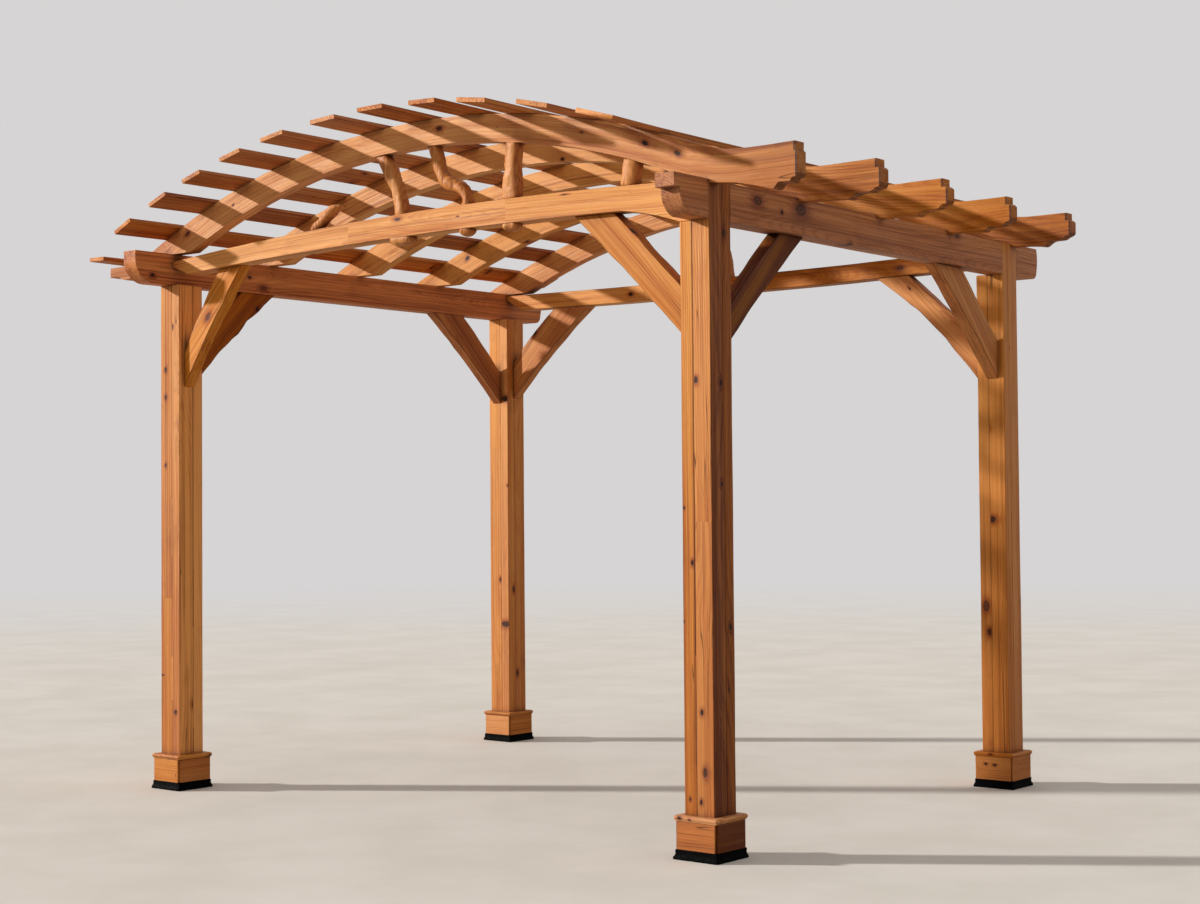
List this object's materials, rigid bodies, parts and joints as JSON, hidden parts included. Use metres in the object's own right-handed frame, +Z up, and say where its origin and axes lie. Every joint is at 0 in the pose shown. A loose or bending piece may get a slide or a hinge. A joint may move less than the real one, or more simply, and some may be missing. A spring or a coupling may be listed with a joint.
{
  "type": "arched wooden pergola",
  "caption": "Open garden pergola: square posts in boxed plinths carry notched side beams, arched ties with knee braces, and bowed rafters under spaced roof slats.",
  "frame": {"origin": "on the ground, midway between the four posts and midway between the roof's outer edges", "axes": "X across the arch, Y along the side beams from front to back, Z up"},
  "size_m": [4.11, 3.11, 3.0347],
  "materials": {
    "cedar": "oiled, with grain and knots",
    "slat_wood": "oiled, sawn",
    "branch_wood": "oiled, peeled",
    "black_shoe": "matte black"
  },
  "bodies": {
    "root": {"gable_brace_back_left": "cedar", "gable_brace_back_right": "cedar", "gable_brace_front_left": "cedar", "gable_brace_front_right": "cedar", "gable_spokes_back": "branch_wood", "gable_spokes_front": "branch_wood", "gable_tie_back": "cedar", "gable_tie_front": "cedar", "plinth_back_left": "cedar", "plinth_back_right": "cedar", "plinth_cap_back_left": "cedar", "plinth_cap_back_right": "cedar", "plinth_cap_front_left": "cedar", "plinth_cap_front_right": "cedar", "plinth_front_left": "cedar", "plinth_front_right": "cedar", "post_back_left": "cedar", "post_back_right": "cedar", "post_front_left": "cedar", "post_front_right": "cedar", "rafter_1": "cedar", "rafter_2": "cedar", "rafter_3": "cedar", "rafter_4": "cedar", "rafter_5": "cedar", "shoe_back_left": "black_shoe", "shoe_back_right": "black_shoe", "shoe_front_left": "black_shoe", "shoe_front_right": "black_shoe", "side_beam_left": "cedar", "side_beam_right": "cedar", "side_brace_back_left": "cedar", "side_brace_back_right": "cedar", "side_brace_front_left": "cedar", "side_brace_front_right": "cedar", "slats_crown": "slat_wood", "slats_left": "slat_wood", "slats_left_eave": "slat_wood", "slats_right": "slat_wood", "slats_right_eave": "slat_wood"}
  },
  "joints": []
}
